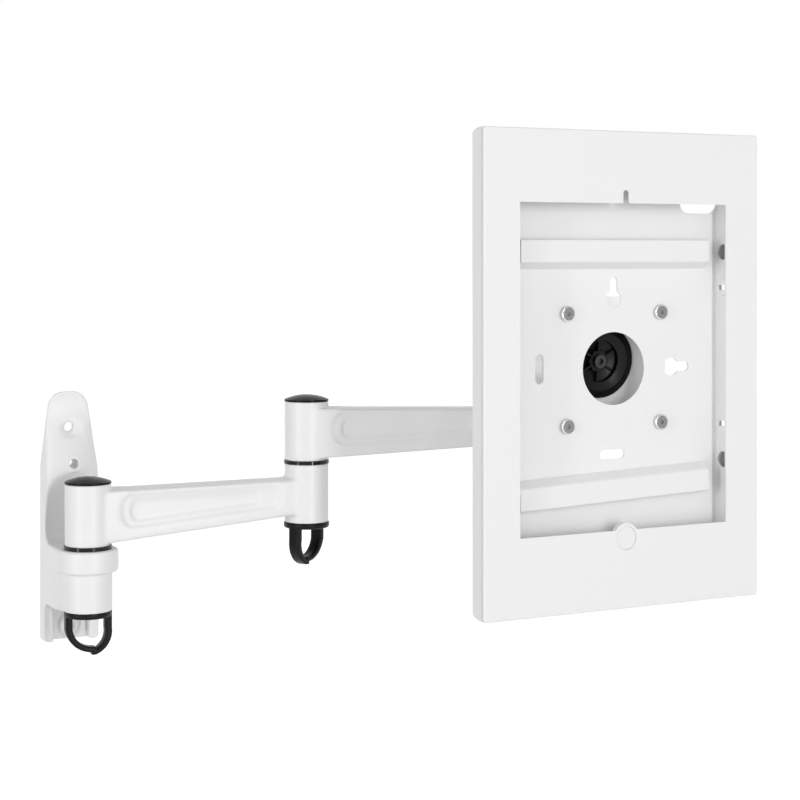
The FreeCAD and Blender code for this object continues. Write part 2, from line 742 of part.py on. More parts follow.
def on_stem(shape):
    """Turns a piece about the ball's centre, onto the stem's rising axis."""
    copy = shape.copy()
    copy.rotate(V(0, -BALL_AHEAD, 0), X_AXIS, STEM_TILT)
    return copy


def head_knuckle():
    """Turning barrel, neck and cup; z = 0 is at the enclosure's middle."""
    shaft = barrel()
    shaft.translate(V(0, HEAD_REACH, -BARREL_H / 2))
    cup_out = cup_inside() + CUP_T
    cup = bowl(cup_inside(), cup_out, 0, CUP_RIM_R)
    neck_front = cup_inside() - BALL_AHEAD - CUP_T
    neck = Part.makeCone(NECK_R_CUP, NECK_R_BARREL, HEAD_REACH - neck_front, V(0, neck_front, 0), Y_AXIS)
    neck = neck.cut(ball(cup_inside()))
    body = joined(shaft, cup, neck)
    bores = upper_barrel_bores()
    bores.translate(V(0, HEAD_REACH, -BARREL_H / 2))
    screw_end = CENTRE_HUB_W + screw_length()
    return body.cut([bores, on_stem(rod_y(CENTRE_SCREW_R, CENTRE_HUB_W, screw_end))])


def screw_length():
    return cup_inside() - BALL_AHEAD - CENTRE_HUB_W + CENTRE_SCREW_GRIP


def ball_liner():
    return bowl(liner_inside(), liner_inside() + LINER_T, LINER_HOLE_R, LINER_RIM_R)


def ball_washer():
    """Ribbed black washer that presses the dish against the liner."""
    back_r = DISH_R - RUNNING_GAP
    rim_r = back_r - BALL_WASHER_RIM_T
    face_r = back_r - BALL_WASHER_T
    floor_r = back_r - RECESS_FLOOR_T
    shoulder = BALL_WASHER_R - BALL_WASHER_T

    def at(radius, across):
        return V(across, math.sqrt(radius ** 2 - across ** 2) - BALL_AHEAD, 0)

    edges = [
        Part.Arc(at(back_r, 0), at(back_r, BALL_WASHER_R / 2), at(back_r, BALL_WASHER_R)).toShape(),
        Part.makeLine(at(back_r, BALL_WASHER_R), at(rim_r, BALL_WASHER_R)),
        Part.makeLine(at(rim_r, BALL_WASHER_R), at(face_r, shoulder)),
        Part.Arc(at(face_r, shoulder), at(face_r, (shoulder + RECESS_R) / 2), at(face_r, RECESS_R)).toShape(),
        Part.makeLine(at(face_r, RECESS_R), at(floor_r, RECESS_R)),
        Part.Arc(at(floor_r, RECESS_R), at(floor_r, RECESS_R / 2), at(floor_r, 0)).toShape(),
        Part.makeLine(at(floor_r, 0), at(back_r, 0)),
    ]
    disc = Part.Face(Part.Wire(edges)).revolve(V(0, 0, 0), Y_AXIS, 360)
    hub_back = back_r - RECESS_FLOOR_T / 2 - BALL_AHEAD
    hub = closed_wire(hexagon(CENTRE_HUB_AF), 0, lambda p: V(p.x, CENTRE_HUB_W, p.y))
    hub = Part.Face(hub).extrude(V(0, hub_back - CENTRE_HUB_W, 0))
    parts = [hub]
    for index in range(RIB_COUNT):
        rib = block(0, RECESS_R + RIB_T / 2, CENTRE_HUB_W + RIB_DROP, hub_back, -RIB_T / 2, RIB_T / 2)
        rib = rib.common(ball(back_r - RECESS_FLOOR_T / 2))
        rib.rotate(V(0, 0, 0), Y_AXIS, 360 / RIB_COUNT * (index + 0.5))
        parts.append(rib)
    stem_end = math.sqrt(cup_inside() ** 2 - STEM_R ** 2) - BALL_AHEAD - LOOSE_GAP
    parts.append(rod_y(STEM_R, hub_back, stem_end))
    body = joined(disc, *parts)
    return on_stem(body.cut(rod_y(CENTRE_SCREW_R + LOOSE_GAP, CENTRE_HUB_W - 1, cup_inside())))


def centre_screw():
    head_front = CENTRE_HUB_W - CENTRE_SCREW_HEAD_H
    head = rod_y(CENTRE_SCREW_HEAD_R, head_front, CENTRE_HUB_W)
    shank = rod_y(CENTRE_SCREW_R, CENTRE_HUB_W, CENTRE_HUB_W + screw_length())
    socket = closed_wire(hexagon(CENTRE_SCREW_SOCKET_AF), 0, lambda p: V(p.x, head_front, p.y))
    socket = Part.Face(socket).extrude(V(0, CENTRE_SCREW_HEAD_H * 0.7, 0))
    return on_stem(joined(head, shank).cut(socket))


def vesa_corners():
    return [(a * VESA_HALF, b * VESA_HALF) for a in (-1, 1) for b in (-1, 1)]


def vesa_plate():
    """Flat plate with a pressed dish, held between the liner and the washer."""
    half_w = MOUNT_PLATE_W / 2
    half_h = MOUNT_PLATE_H / 2
    outline = rectangle(-half_w, half_w, -half_h, half_h)
    flat = prism_y(outline, MOUNT_PLATE_CORNER_R, TRAY_BACK_W, MOUNT_PLATE_BACK_W)
    dish = ball(DISH_R + DISH_T).common(rod_y(DISH_R, TRAY_BACK_W, DISH_R))
    body = joined(flat, dish).cut(ball(DISH_R))
    cuts = [rod_y(DISH_HOLE_R, MOUNT_PLATE_BACK_W, DISH_R)]
    for across, up in vesa_corners():
        cuts.append(rod_y(VESA_HOLE_R, TRAY_BACK_W - 1, MOUNT_PLATE_BACK_W + 1, across, up))
    return body.cut(cuts)


def vesa_screws():
    screws = []
    end = MOUNT_PLATE_BACK_W + VESA_NUT_H + VESA_TAIL
    for across, up in vesa_corners():
        head = rod_y(VESA_HEAD_R, BACK_FRONT_W - VESA_HEAD_H, BACK_FRONT_W, across, up)
        head = head.makeFillet(0.9, [head.Edges[2]])
        shank = rod_y(VESA_SCREW_R, BACK_FRONT_W, end, across, up)
        front = BACK_FRONT_W - VESA_HEAD_H
        socket = closed_wire(hexagon(VESA_SOCKET_AF), 0, lambda p: V(p.x + across, front, p.y + up))
        socket = Part.Face(socket).extrude(V(0, VESA_SOCKET_DEPTH, 0))
        screws.append(joined(head, shank).cut(socket))
    return Part.makeCompound(screws)


def vesa_nuts():
    nuts = []
    for across, up in vesa_corners():
        wire = closed_wire(hexagon(VESA_NUT_AF), 0, lambda p: V(p.x + across, MOUNT_PLATE_BACK_W, p.y + up))
        nut = Part.Face(wire).extrude(V(0, VESA_NUT_H, 0))
        hole = rod_y(VESA_SCREW_R, MOUNT_PLATE_BACK_W, MOUNT_PLATE_BACK_W + VESA_NUT_H, across, up)
        nuts.append(nut.cut(hole))
    return Part.makeCompound(nuts)


# Enclosure


def pan(half_w, half_h, open_w, closed_w, bend_r, corner_r):
    """A solid pan shape: rounded corners, and a bend round its closed side."""
    solid = prism_y(rectangle(-half_w, half_w, -half_h, half_h), corner_r, open_w, closed_w)
    rim = [e for e in solid.Edges if abs(e.BoundBox.YMin - closed_w) < 1e-4 and e.BoundBox.YLength < 1e-4]
    return solid.makeFillet(bend_r, rim)


def back_openings():
    near = BACK_FRONT_W - FENCE_FOOT_R - 0.5
    far = TRAY_BACK_W + 1
    cuts = [rod_y(CENTRE_HOLE_R, near, far)]
    for across, up in vesa_corners():
        cuts.append(rod_y(VESA_HOLE_R, near, far, across, up))
    key_length = KEY_SLOT_END - KEY_ROUND_AT + KEY_SLOT_R
    key_middle = KEY_ROUND_AT - KEY_SLOT_R + key_length / 2
    cuts.append(rod_y(KEY_ROUND_R, near, far, 0, KEY_ROUND_AT))
    cuts.append(slot_y(0, key_middle, key_length, 2 * KEY_SLOT_R, near, far, upright=True))
    cuts.append(rod_y(KEY_ROUND_R, near, far, KEY_ROUND_AT, 0))
    cuts.append(slot_y(key_middle, 0, key_length, 2 * KEY_SLOT_R, near, far))
    cuts.append(slot_y(LOW_SLOT_U, LOW_SLOT_V, LOW_SLOT_LENGTH, SLOT_WIDTH, near, far))
    cuts.append(slot_y(LEFT_SLOT_U, LEFT_SLOT_V, LEFT_SLOT_LENGTH, SLOT_WIDTH, near, far, upright=True))
    cuts.append(slot_y(LENS_HOLE_U, LENS_HOLE_V, LENS_HOLE_LENGTH, LENS_HOLE_HEIGHT, near, far))
    behind_fence = FENCE_U + SHEET + SIGHT_SLOT_GAP + SIGHT_SLOT_LENGTH / 2
    for up in FENCE_SLOTS_V:
        cuts.append(slot_y(behind_fence, up, SIGHT_SLOT_LENGTH, SIGHT_SLOT_H, near, far))
    return cuts


def side_fence(half_h):
    """Upright fence that stops the tablet on the right, with a rounded foot."""
    reach = half_h - TRAY_BEND_R
    fence = block(FENCE_U, FENCE_U + SHEET, FENCE_FRONT_W, BACK_FRONT_W + SHEET / 2, -reach, reach)
    foot_u = FENCE_U - FENCE_FOOT_R
    foot_w = BACK_FRONT_W - FENCE_FOOT_R
    foot = block(foot_u, FENCE_U + SHEET / 2, foot_w, BACK_FRONT_W + SHEET / 2, -reach, reach)
    foot = foot.cut(rod(FENCE_FOOT_R, -reach, reach, V(foot_u, foot_w, 0)))
    middle_w = (FENCE_SLOT_FRONT_W + FENCE_SLOT_BACK_W) / 2
    parts = [foot]
    cuts = []
    for up in FENCE_SLOTS_V:
        low = up - FENCE_SLOT_H / 2
        parts.append(rod_x(FENCE_BOSS_R, FENCE_U - FENCE_BOSS_T, FENCE_U + SHEET / 2, middle_w, up))
        cuts.append(block(
            FENCE_U - SHEET, FENCE_U + 2 * SHEET, FENCE_SLOT_FRONT_W, FENCE_SLOT_BACK_W,
            low, low + FENCE_SLOT_H,
        ))
    for up in FENCE_HOLES_V:
        cuts.append(rod_x(FENCE_HOLE_R, FENCE_U - SHEET, FENCE_U + 2 * SHEET, middle_w, up))
    return joined(fence, *parts).cut(cuts)


def rear_tray():
    """Sheet tray: back plate and four walls, with large bends between them."""
    half_w = PANEL_W / 2
    half_h = PANEL_H / 2
    outside = pan(half_w, half_h, TRAY_FRONT_W, TRAY_BACK_W, TRAY_BEND_R, CORNER_R)
    inside = pan(
        half_w - SHEET, half_h - SHEET, TRAY_FRONT_W - 1, BACK_FRONT_W,
        TRAY_BEND_R - SHEET, CORNER_R - SHEET / 2,
    )
    cuts = back_openings()
    for up in (-SIDE_NUT_V, SIDE_NUT_V):
        cuts.append(rod_x(SIDE_SCREW_R + LOOSE_GAP, half_w - SHEET - 1, half_w + 1, SIDE_NUT_W, up))
    return joined(outside.cut(inside), side_fence(half_h)).cut(cuts)


def tablet_rail(low_is_centre):
    """Bent channel that the tablet rests against, sloped on the side of the middle."""
    def channel(inset):
        front = RAIL_FRONT_W + inset
        back = BACK_FRONT_W
        side = inset
        end = RAIL_FACE_H + RAIL_SLOPE_H - inset
        slope = RAIL_FACE_H - inset * 0.5
        return [(back, side), (front, side), (front, slope), (back, end)]

    half = RAIL_LENGTH / 2
    solid = prism_x(channel(0), [0, 1.0, 1.0, 0], RAIL_U - half, RAIL_U + half)
    hollow = prism_x(channel(RAIL_SHEET), 0, RAIL_U - half - 1, RAIL_U + half + 1)
    rail = solid.cut(hollow)
    if low_is_centre:
        rail = rail.mirror(V(0, 0, 0), Z_AXIS)
        rail.translate(V(0, 0, RAIL_TOP_V))
    else:
        rail.translate(V(0, 0, RAIL_BOTTOM_V))
        rail.rotate(V(RAIL_U - half, 0, RAIL_BOTTOM_V), Y_AXIS, -BOTTOM_RAIL_TILT)
    return rail


def front_cover():
    """Lid with short bent lips, the tablet's window, and an ear for the button."""
    half_w = PANEL_W / 2
    half_h = PANEL_H / 2
    outside = prism_y(rectangle(-half_w, half_w, -half_h, half_h), CORNER_R, 0, COVER_LIP_W)
    rim = [e for e in outside.Edges if abs(e.BoundBox.YMax) < 1e-4 and e.BoundBox.YLength < 1e-4]
    outside = outside.makeFillet(EDGE_BEND_R, rim)
    inside = prism_y(
        rectangle(SHEET - half_w, half_w - SHEET, SHEET - half_h, half_h - SHEET),
        CORNER_R - SHEET / 2, SHEET, COVER_LIP_W + 1,
    )
    window = prism_y(
        rectangle(-WINDOW_W / 2, WINDOW_W / 2, WINDOW_BOTTOM_V, WINDOW_TOP_V),
        WINDOW_CORNER_R, -1, SHEET + 1,
    )
    ear = rod_y(BUTTON_EAR_R, 0, SHEET, 0, BUTTON_V)
    body = outside.cut([inside, window.cut(ear)])
    slot_length = SENSOR_SLOT_RISE + SENSOR_SLOT_W
    slot_middle = SENSOR_SLOT_V - slot_length / 2
    cuts = [slot_y(0, slot_middle, slot_length, SENSOR_SLOT_W, -1, SHEET + 1, upright=True)]
    cuts.append(rod_y(BUTTON_HOLE_R, -1, SHEET + 1, 0, BUTTON_V))
    tab_out = half_w - SHEET - LOOSE_GAP
    tabs = []
    for up in (-SIDE_NUT_V, SIDE_NUT_V):
        outline = rectangle(SHEET / 2, SIDE_TAB_END_W, up - SIDE_TAB_HALF, up + SIDE_TAB_HALF)
        tabs.append(prism_x(outline, [0, 2.0, 2.0, 0], tab_out - SIDE_TAB_T, tab_out))
        cuts.append(rod_x(SIDE_SCREW_R + LOOSE_GAP, tab_out - 3, tab_out + 1, SIDE_NUT_W, up))
    return joined(body, *tabs).cut(cuts)


def home_button():
    """Round key cap with a step, a flange behind the cover and a plunger."""
    cap = rod_y(BUTTON_HOLE_R - MOVING_GAP / 2, BUTTON_STEP, SHEET, 0, BUTTON_V)
    disc = rod_y(BUTTON_DISC_R, 0, SHEET, 0, BUTTON_V)
    flange = rod_y(BUTTON_FLANGE_R, SHEET, SHEET + BUTTON_FLANGE_T, 0, BUTTON_V)
    plunger_end = housing_floor() + HOUSING_FLOOR_T + BUTTON_PLUNGER_OUT
    plunger = rod_y(BUTTON_PLUNGER_R, SHEET, plunger_end, 0, BUTTON_V)
    return joined(cap, disc, flange, plunger)


def housing_floor():
    return SHEET + BUTTON_FLANGE_T + BUTTON_TRAVEL + MOVING_GAP


def button_housing():
    """Shallow cup behind the cover that keeps the button in place."""
    inside = BUTTON_FLANGE_R + LOOSE_GAP
    back = housing_floor() + HOUSING_FLOOR_T
    cup = rod_y(inside + HOUSING_WALL, SHEET, back, 0, BUTTON_V)
    room = rod_y(inside, SHEET, housing_floor(), 0, BUTTON_V)
    return cup.cut([room, rod_y(BUTTON_PLUNGER_R + MOVING_GAP, SHEET, back, 0, BUTTON_V)])


def side_nut_face():
    return PANEL_W / 2 - SHEET - LOOSE_GAP - SIDE_TAB_T


def cover_nuts():
    nuts = []
    for up in (-SIDE_NUT_V, SIDE_NUT_V):
        nut = rod_x(SIDE_NUT_R, side_nut_face() - SIDE_NUT_T, side_nut_face(), SIDE_NUT_W, up)
        hole = rod_x(SIDE_SCREW_R, side_nut_face() - SIDE_NUT_T, side_nut_face(), SIDE_NUT_W, up)
        nuts.append(nut.cut(hole))
    return Part.makeCompound(nuts)


def cover_screws():
    screws = []
    seat = PANEL_W / 2
    end = side_nut_face() - SIDE_NUT_T
    for up in (-SIDE_NUT_V, SIDE_NUT_V):
        head = rod_x(SIDE_SCREW_HEAD_R, seat, seat + SIDE_SCREW_HEAD_H, SIDE_NUT_W, up)
        shank = rod_x(SIDE_SCREW_R, end, seat, SIDE_NUT_W, up)
        top = seat + SIDE_SCREW_HEAD_H
        socket = rod_x(SIDE_SCREW_SOCKET_R, seat + SIDE_SCREW_HEAD_H / 2, top, SIDE_NUT_W, up)
        screws.append(joined(head, shank).cut(socket))
    return Part.makeCompound(screws)


# Placing the pieces


def placed(shape, place, turn=0.0):
    copy = shape.copy()
    copy.rotate(V(0, 0, 0), Z_AXIS, turn)
    copy.translate(place)
    return copy


def pivot_pieces(name, pivot, lower_z, upper_z, turn):
    """Bolt, nut, washers, bushes and cap of one pivot."""
    low = pivot + V(0, 0, lower_z)
    high = pivot + V(0, 0, upper_z)
    return {
        name + "_pivot_bolt": placed(pivot_bolt(), high, turn),
        name + "_lock_nut": placed(lock_nut(), low, turn),
        name + "_flat_washer": placed(flat_washer(), low, turn),
        name + "_thrust_bush": placed(thrust_bush(), high, turn),
        name + "_top_bush": placed(top_bush(), high, turn),
        name + "_pivot_cap": placed(pivot_cap(), high, turn),
    }


def all_pieces():
    elbow_low = LOWER_ARM_Z + ARM_RISE
    head_low = UPPER_ARM_Z + ARM_RISE
    arm = arm_casting()
    pieces = {
        "wall_bracket": wall_bracket(),
        "lower_arm": placed(arm, WALL_PIVOT + V(0, 0, LOWER_ARM_Z), LOWER_ARM_ANGLE),
        "upper_arm": placed(arm, ELBOW_PIVOT + V(0, 0, UPPER_ARM_Z), UPPER_ARM_ANGLE),
        "wall_cable_hoop": placed(cable_hoop(), WALL_PIVOT + V(0, 0, HUB_BOTTOM_Z), WALL_HOOP_TURN),
        "elbow_cable_hoop": placed(cable_hoop(), ELBOW_PIVOT + V(0, 0, elbow_low), ELBOW_HOOP_TURN),
        "head_plug": placed(plain_plug(), HEAD_PIVOT + V(0, 0, head_low)),
    }
    pieces.update(pivot_pieces("wall", WALL_PIVOT, HUB_BOTTOM_Z, LOWER_ARM_Z, 0))
    pieces.update(pivot_pieces("elbow", ELBOW_PIVOT, elbow_low, UPPER_ARM_Z, LOWER_ARM_ANGLE))
    pieces.update(pivot_pieces("head", HEAD_PIVOT, head_low, HEAD_Z, UPPER_ARM_ANGLE))
    panel_pieces = {
        "head_knuckle": head_knuckle(),
        "ball_liner": ball_liner(),
        "ball_washer": ball_washer(),
        "centre_screw": centre_screw(),
        "vesa_plate": vesa_plate(),
        "vesa_screws": vesa_screws(),
        "vesa_nuts": vesa_nuts(),
        "rear_tray": rear_tray(),
        "top_rail": tablet_rail(True),
        "bottom_rail": tablet_rail(False),
        "front_cover": front_cover(),
        "home_button": home_button(),
        "button_housing": button_housing(),
        "cover_nuts": cover_nuts(),
        "cover_screws": cover_screws(),
    }
    for name, shape in panel_pieces.items():
        pieces[name] = placed(shape, PANEL_PLACE)
    return pieces


def main():
    os.makedirs("parts", exist_ok=True)
    for name, shape in all_pieces().items():
        shape.exportStep("parts/" + name + ".step")
        print(name, len(shape.Solids), shape.isValid(), round(shape.Volume / 1000, 2))


main()
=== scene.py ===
import json
import math

import bmesh
import bpy
import numpy as np
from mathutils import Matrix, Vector

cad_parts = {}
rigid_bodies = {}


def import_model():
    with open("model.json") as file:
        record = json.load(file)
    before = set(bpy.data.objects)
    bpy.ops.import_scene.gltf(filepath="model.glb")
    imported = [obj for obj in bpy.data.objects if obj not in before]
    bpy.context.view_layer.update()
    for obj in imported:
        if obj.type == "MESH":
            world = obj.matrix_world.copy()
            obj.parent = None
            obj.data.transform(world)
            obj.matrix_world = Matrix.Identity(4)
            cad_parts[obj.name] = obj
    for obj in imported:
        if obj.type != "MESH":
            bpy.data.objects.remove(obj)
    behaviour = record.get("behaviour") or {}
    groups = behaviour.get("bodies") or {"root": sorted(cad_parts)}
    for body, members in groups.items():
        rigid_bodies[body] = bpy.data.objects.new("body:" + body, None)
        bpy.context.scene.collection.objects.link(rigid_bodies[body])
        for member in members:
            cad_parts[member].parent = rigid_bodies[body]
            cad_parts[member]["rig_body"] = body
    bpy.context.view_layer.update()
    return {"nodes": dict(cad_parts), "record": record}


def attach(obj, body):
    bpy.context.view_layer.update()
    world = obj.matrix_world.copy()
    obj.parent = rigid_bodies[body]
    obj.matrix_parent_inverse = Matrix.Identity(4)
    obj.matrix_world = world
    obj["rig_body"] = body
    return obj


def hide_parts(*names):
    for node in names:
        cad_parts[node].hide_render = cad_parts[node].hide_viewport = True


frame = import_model()

MM = 0.001

# Camera, in the part's own frame
IMAGE_SIDE = 800
HORIZON_ROW = 251.06
CAMERA_PLACE = Vector((-382.5, -1277.1, 189.6)) * MM
CAMERA_YAW = math.radians(27.04)
CAMERA_LENS = 81.9
SENSOR_WIDTH = 36
CLIP_START = 0.05
CLIP_END = 60

# Studio, in metres; a lamp has a place and a power in watts
FLOOR_Z = -0.42
FLOOR_SIDE = 40.0
FLOOR_COLOUR = (0.85, 0.85, 0.85, 1)
FLOOR_GLOW = 0.66
WORLD_WHITE = (1, 1, 1, 1)
WORLD_SIDE = 0.95
WORLD_TOP = 0.25
BACKDROP = 1.0
LAMP_AIM = (0.2, -0.15, 0.05)
LAMP_SIZE = (0.2, 1.5)
LAMPS = {
    "left_strip": ((-1.87, -0.89, 0.34), 11),
    "right_strip": ((0.46, -2.34, 0.34), 15.5),
}

# Paint, plastic and metal colours, as they render
WHITE_PAINT = (0.84, 0.84, 0.84, 1)
BLACK_PLASTIC = (0.006, 0.006, 0.0065, 1)
BLACK_MATT = (0.005, 0.005, 0.0055, 1)
BLACK_STEEL = (0.012, 0.012, 0.013, 1)
STEEL = (0.42, 0.42, 0.43, 1)
BRIGHT_STEEL = (0.62, 0.62, 0.63, 1)
# painted shade: a darker chrome for the faces round each screw's socket, in place of the
# recess's shade
SOCKET_SHADE_CHROME = (0.26, 0.26, 0.265, 1)

# Finishes, in metres: grain is the size and depth of a bump,
# mottle the size of a patch and the two roughnesses it wanders between
FINISHES = {
    "white_casting": dict(
        colour=WHITE_PAINT, roughness=0.37,
        grain=(0.0016, 0.00001), mottle=(0.03, 0.36, 0.38)),
    "white_sheet": dict(
        colour=WHITE_PAINT, roughness=0.36,
        grain=(0.0011, 0.000008), mottle=(0.05, 0.36, 0.38)),
    "black_plastic": dict(
        colour=BLACK_PLASTIC, roughness=0.22, specular=0.1,
        grain=(0.0009, 0.000004), mottle=(0.012, 0.18, 0.28)),
    "black_gloss": dict(
        colour=BLACK_MATT, roughness=0.1, specular=0.28,
        mottle=(0.012, 0.07, 0.13)),
    "black_matt": dict(
        colour=BLACK_MATT, roughness=0.34, specular=0.16,
        grain=(0.0007, 0.000006), mottle=(0.01, 0.28, 0.4)),
    "black_steel": dict(
        colour=BLACK_STEEL, roughness=0.25, mottle=(0.006, 0.2, 0.32)),
    "zinc_steel": dict(
        colour=STEEL, roughness=0.35, metallic=1.0, mottle=(0.004, 0.28, 0.45)),
    "bright_steel": dict(
        colour=BRIGHT_STEEL, roughness=0.14, metallic=1.0, mottle=(0.003, 0.1, 0.2)),
    "socket_shade_chrome": dict(
        colour=SOCKET_SHADE_CHROME, roughness=0.2, metallic=1.0, grain=(0.0014, 0.00025)),
    "white_plastic": dict(
        colour=WHITE_PAINT, roughness=0.3, grain=(0.0008, 0.000005)),
}
GRAIN_DETAIL = 3.0
MOTTLE_DETAIL = 4.0
MOTTLE_NOISE = (0.3, 0.7)

# From here on lengths are in millimetres

# Places in the solids; barrels are given by their lower and upper z, inner end first
WALL_PIVOT = Vector((0.0, -50.0))
ELBOW_PIVOT = Vector((162.8, -58.0))
HEAD_PIVOT = Vector((303.7, -140.0))
LOWER_ARM_BARRELS = ((-15.0, 25.0), (-5.5, 34.5))
UPPER_ARM_BARRELS = ((36.9, 76.9), (46.5, 86.5))
PANEL_CENTRE_X = 303.68
PANEL_CENTRE_Z = 110.4
FOOT_HOLE_Z = -78.5
FOOT_FLOOR = 4.2
MIDDLE_HOLE_Z = 38.1

# Fineness of the skins
WELD = 0.002
WEIGHT_STEPS = 20
BRACKET_VOXEL = 0.68
ARM_VOXEL = 0.7
HEAD_VOXEL = 0.8
FOLD_VOXEL = 0.42
CASTING_PASSES = 4
HEAD_PASSES = 5
BRACKET_MELT_PASSES = 270
ARM_MELT_PASSES = 80
HOOP_PASSES = 3
RAIL_PASSES = 9
RAIL_KEPT = 0.4

# Where the castings melt; four numbers are for bump_between, two are for ramp
BLEND_ALONG = (4.0, 8.0, 26.0, 8.0)
BLEND_INSET = 1.5
BLEND_RISE = 3.0
OFF_BARREL = (14.0, 1.0)
HOLLOW_END = (108.0, 30.0, 146.0, 4.0)
HOLLOW_END_WEIGHT = 0.8
HOLLOW_START = 24.0
HOLLOW_STOP = 20.0
HOLLOW_RISE = 8.0
LOWER_EDGE_WEIGHT = 0.42
UPPER_EDGE_EXTRA = 0.58
UPPER_EDGE_RISE = 6.0
OFF_MIDDLE = (7.0, 2.0)
SCOOP_TOP = (-2.0, 26.0, 72.0, 14.0)
OFF_PLATE = (4.5, 2.0)
OFF_HOLE = (5.5, 3.0)
OFF_BORE = (18.0, 4.0)
SHOULDER_UP = (-58.0, 4.0, -19.0, 2.0)
SHOULDER_OUT = (3.0, 6.0, 46.0, 6.0)

# Small forms of the bracket
BOSS_R = 9.2
BOSS_BORE_R = 4.0
BOSS_WIDTH_KEPT = 0.45
BOSS_HEIGHT_KEPT = 0.5
CROWN_DROP = 3.2
CROWN_FLAT = 3.0
CROWN_SPAN = 13.0
CROWN_Z = 62.0
CROWN_RISE = 26.0

# Tray, hoops and screws
TRAY_BEND_R = 8.0
TRAY_BEND_POWER = 10
TRAY_BEND_EDGE = 0.01
TRAY_BEND_DEPTH = 1.8
TRAY_CREASE = 28
HOOP_FULLER = 0.8
SCREW_HALF_PITCH = 37.5
SCREW_CREASE = 35
SOCKET_REACH = 3.7
FRONTWARD = -0.2


# Materials


def add_noise(tree, size, detail):
    place = tree.nodes.new("ShaderNodeTexCoord")
    noise = tree.nodes.new("ShaderNodeTexNoise")
    noise.inputs["Scale"].default_value = 1 / size
    noise.inputs["Detail"].default_value = detail
    tree.links.new(place.outputs["Object"], noise.inputs["Vector"])
    return noise


def add_grain(tree, shader, size, depth):
    """A fine bump from noise."""
    noise = add_noise(tree, size, GRAIN_DETAIL)
    bump = tree.nodes.new("ShaderNodeBump")
    bump.inputs["Strength"].default_value = 1.0
    bump.inputs["Distance"].default_value = depth
    tree.links.new(noise.outputs["Fac"], bump.inputs["Height"])
    tree.links.new(bump.outputs["Normal"], shader.inputs["Normal"])


def add_mottle(tree, shader, size, low, high):
    """Roughness that wanders between two values over patches of the given size."""
    noise = add_noise(tree, size, MOTTLE_DETAIL)
    span = tree.nodes.new("ShaderNodeMapRange")
    span.inputs["From Min"].default_value = MOTTLE_NOISE[0]
    span.inputs["From Max"].default_value = MOTTLE_NOISE[1]
    span.inputs["To Min"].default_value = low
    span.inputs["To Max"].default_value = high
    tree.links.new(noise.outputs["Fac"], span.inputs["Value"])
    tree.links.new(span.outputs["Result"], shader.inputs["Roughness"])


def make_material(name, colour, roughness, metallic=0.0, specular=0.5, grain=None, mottle=None):
    material = bpy.data.materials.new(f"{name}_finish")
    material.use_nodes = True
    tree = material.node_tree
    shader = tree.nodes["Principled BSDF"]
    shader.inputs["Base Color"].default_value = colour
    shader.inputs["Roughness"].default_value = roughness
    shader.inputs["Metallic"].default_value = metallic
    shader.inputs["Specular IOR Level"].default_value = specular
    if grain:
        add_grain(tree, shader, *grain)
    if mottle:
        add_mottle(tree, shader, *mottle)
    return material


MATERIALS = {name: make_material(name, **finish) for name, finish in FINISHES.items()}
SLOTS = {part["node"]: part["material_slot"] for part in frame["record"]["subparts"]}


def dress_cad_nodes():
    for name, node in frame["nodes"].items():
        node.data.materials.clear()
        node.data.materials.append(MATERIALS[SLOTS[name]])
    for name in ("ball_washer", "ball_liner"):
        frame["nodes"][name].data.materials[0] = MATERIALS["black_matt"]
    for name in ("wall_thrust_bush", "elbow_thrust_bush", "head_thrust_bush"):
        frame["nodes"][name].data.materials[0] = MATERIALS["black_gloss"]


# Skins: pieces made from the solids' own meshes


def drop_stored_normals(mesh):
    stored = mesh.attributes.get("custom_normal")
    if stored:
        mesh.attributes.remove(stored)


def copy_of(node):
    """A new object with a welded copy of a node's mesh, in place."""
    mesh = frame["nodes"][node].data.copy()
    work = bmesh.new()
    work.from_mesh(mesh)
    bmesh.ops.remove_doubles(work, verts=work.verts, dist=WELD * MM)
    work.to_mesh(mesh)
    work.free()
    drop_stored_normals(mesh)
    piece = bpy.data.objects.new(f"{node}_skin", mesh)
    bpy.context.scene.collection.objects.link(piece)
    return piece


def places(mesh):
    """The mesh's vertices as an array in millimetres."""
    flat = np.empty(len(mesh.vertices) * 3, np.float32)
    mesh.vertices.foreach_get("co", flat)
    return flat.reshape(-1, 3) / MM


def move_to(mesh, points):
    mesh.vertices.foreach_set("co", (points * MM).astype(np.float32).ravel())
    mesh.update()


def bake(piece):
    """Turns the piece's modifiers into its mesh."""
    found = piece.evaluated_get(bpy.context.evaluated_depsgraph_get())
    mesh = bpy.data.meshes.new_from_object(found)
    piece.modifiers.clear()
    piece.vertex_groups.clear()
    piece.data = mesh


def add_remesh(piece, voxel):
    remesh = piece.modifiers.new("remesh", "REMESH")
    remesh.mode = "VOXEL"
    remesh.voxel_size = voxel * MM


def weigh(piece, name, weights):
    """A vertex group with one weight for each vertex."""
    group = piece.vertex_groups.new(name=name)
    steps = np.round(np.clip(weights, 0, 1) * WEIGHT_STEPS).astype(int)
    for step in range(1, WEIGHT_STEPS + 1):
        picked = np.nonzero(steps == step)[0]
        if len(picked):
            group.add([int(i) for i in picked], step / WEIGHT_STEPS, "REPLACE")


def soften(piece, passes, weights=None, name="soft"):
    smooth = piece.modifiers.new(name, "SMOOTH")
    smooth.factor = 0.5
    smooth.iterations = passes
    if weights is not None:
        weigh(piece, name, weights)
        smooth.vertex_group = name


def hand_over(piece, node, finish, crease=None):
    """The piece rides with the node's body and stands for it.

    Its faces are smooth, except over edges sharper than crease degrees.
    """
    piece.data.materials.clear()
    piece.data.materials.append(MATERIALS[finish])
    piece.data.polygons.foreach_set("use_smooth", [True] * len(piece.data.polygons))
    if crease:
        piece.data.set_sharp_from_angle(angle=math.radians(crease))
    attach(piece, frame["nodes"][node]["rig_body"])
    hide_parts(node)


def ramp(values, start, width):
    """0 up to start, then rising to 1 over the width."""
    return np.clip((values - start) / width, 0, 1)


